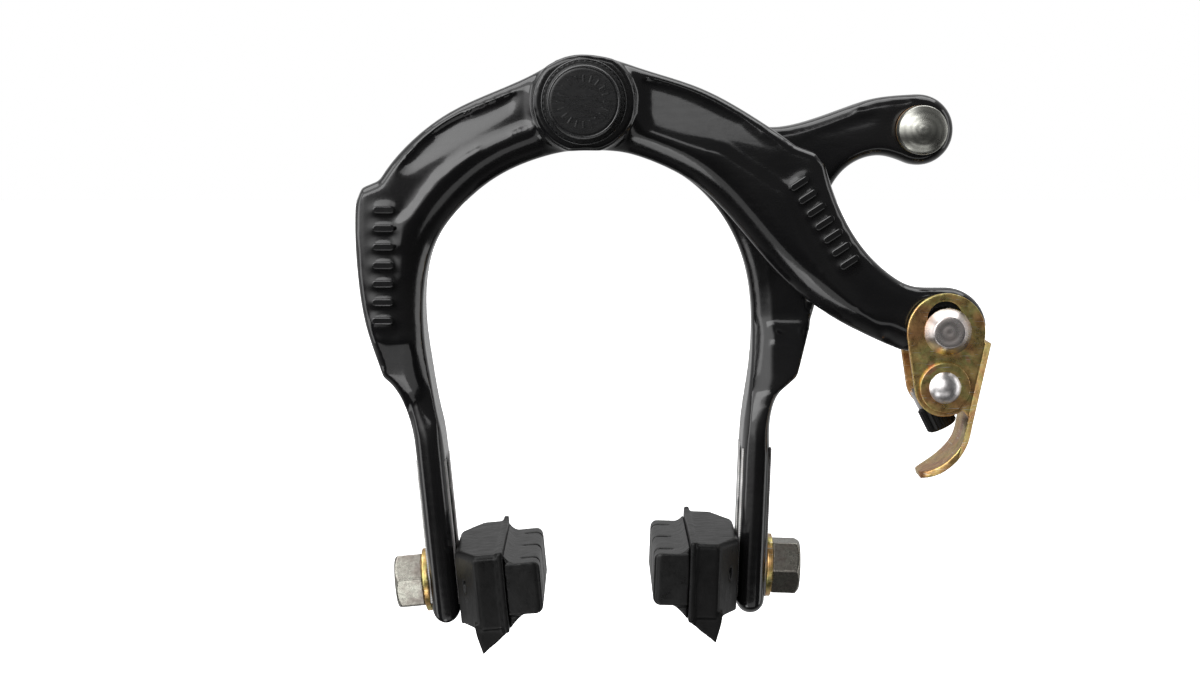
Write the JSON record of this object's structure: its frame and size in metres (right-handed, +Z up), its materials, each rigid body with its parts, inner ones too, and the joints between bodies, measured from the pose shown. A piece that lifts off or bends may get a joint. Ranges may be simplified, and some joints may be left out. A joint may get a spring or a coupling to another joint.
{
  "type": "bicycle rim brake caliper",
  "caption": "Long-reach side-pull rim brake caliper with two forged arms, grooved brake shoes, quick release and cable adjuster.",
  "frame": {"origin": "on the centre bolt's axis at the face that seats against the fork or frame bridge", "axes": "+Y along the centre bolt out of the back, +X to the right and +Z up as seen from the front"},
  "size_m": [0.1219, 0.0689, 0.1139],
  "materials": {
    "black_paint": "gloss black enamel over forged aluminium",
    "block_alloy": "black finish",
    "bronze": "satin",
    "cap_plastic": "glossy",
    "gold_zinc": "yellow chromate zinc plate",
    "holder_rubber": "satin moulded rubber",
    "knob_plastic": "satin ribbed",
    "nylon": "natural nylon",
    "pad_rubber": "satin friction rubber",
    "plated_steel": "zinc plate",
    "spring_wire": "drawn wire",
    "turned_steel": "turned and polished"
  },
  "bodies": {
    "mount": {"centre_bolt": "plated_steel", "seat_washer": "plated_steel", "spring_block": "block_alloy", "rear_friction_washer": "bronze", "middle_friction_washer": "bronze", "front_friction_washer": "bronze", "adjusting_nut": "plated_steel", "bolt_cap": "cap_plastic", "return_spring": "spring_wire"},
    "front_arm": {"front_arm": "black_paint", "qr_pin": "turned_steel", "left_peg_sleeve": "nylon"},
    "rear_arm": {"rear_arm": "black_paint", "right_peg_sleeve": "nylon"},
    "left_shoe": {"left_shoe_holder": "holder_rubber", "left_pad": "pad_rubber", "left_stud": "plated_steel", "left_stud_washer": "gold_zinc", "left_stud_nut": "plated_steel"},
    "right_shoe": {"right_shoe_holder": "holder_rubber", "right_pad": "pad_rubber", "right_stud": "plated_steel", "right_stud_washer": "gold_zinc", "right_stud_nut": "plated_steel"},
    "quick_release": {"qr_lever": "gold_zinc", "rivet_washer": "gold_zinc"},
    "trunnion": {"trunnion": "turned_steel"},
    "adjuster_barrel": {"adjuster_barrel": "plated_steel"},
    "adjuster_knob": {"adjuster_knob": "knob_plastic"},
    "cable_anchor": {"cable_anchor_bolt": "turned_steel", "anchor_washer": "gold_zinc", "anchor_nut": "plated_steel"}
  },
  "joints": [
    {"name": "front_arm_pivot", "type": "hinge", "parent": "mount", "child": "front_arm", "pos_m": [0, -0.0257, 0], "axis": [0, -1, 0], "range_deg": [0, 5.5], "stiffness_Nm_per_rad": 2, "springref_deg": -22.92, "deforming": ["return_spring"]},
    {"name": "rear_arm_pivot", "type": "hinge", "parent": "mount", "child": "rear_arm", "pos_m": [0, -0.0162, 0], "axis": [0, 1, 0], "range_deg": [0, 5.5], "stiffness_Nm_per_rad": 2, "springref_deg": -22.92},
    {"name": "left_shoe_height", "type": "slide", "parent": "front_arm", "child": "left_shoe", "axis": [-0.0958, 0, 0.9954], "range_m": [-0.001, 0.0195]},
    {"name": "right_shoe_height", "type": "slide", "parent": "rear_arm", "child": "right_shoe", "axis": [0.0349, 0, 0.9994], "range_m": [-0.002, 0.0195]},
    {"name": "quick_release_swing", "type": "hinge", "parent": "front_arm", "child": "quick_release", "pos_m": [0.0694, -0.031, -0.0436], "axis": [0, 1, 0], "range_deg": [0, 32]},
    {"name": "adjuster_swivel", "type": "hinge", "parent": "quick_release", "child": "trunnion", "pos_m": [0.0689, -0.0255, -0.0543], "axis": [0, 1, 0], "range_deg": [0, 62]},
    {"name": "adjuster_travel", "type": "slide", "parent": "trunnion", "child": "adjuster_barrel", "axis": [0.454, 0, -0.891], "range_m": [0, 0.0008]},
    {"name": "adjuster_turn", "type": "hinge", "parent": "adjuster_barrel", "child": "adjuster_knob", "pos_m": [0.06623, -0.0226, -0.05566], "axis": [0.454, 0, -0.891], "range_deg": [0, 360]},
    {"name": "anchor_swivel", "type": "hinge", "parent": "rear_arm", "child": "cable_anchor", "pos_m": [0.0651, -0.02, -0.0054], "axis": [0, 1, 0], "range_deg": [-40, 40]}
  ],
  "couplings": [
    {"joint": "adjuster_turn", "follows": "adjuster_travel", "rad_per_m": 7854}
  ]
}
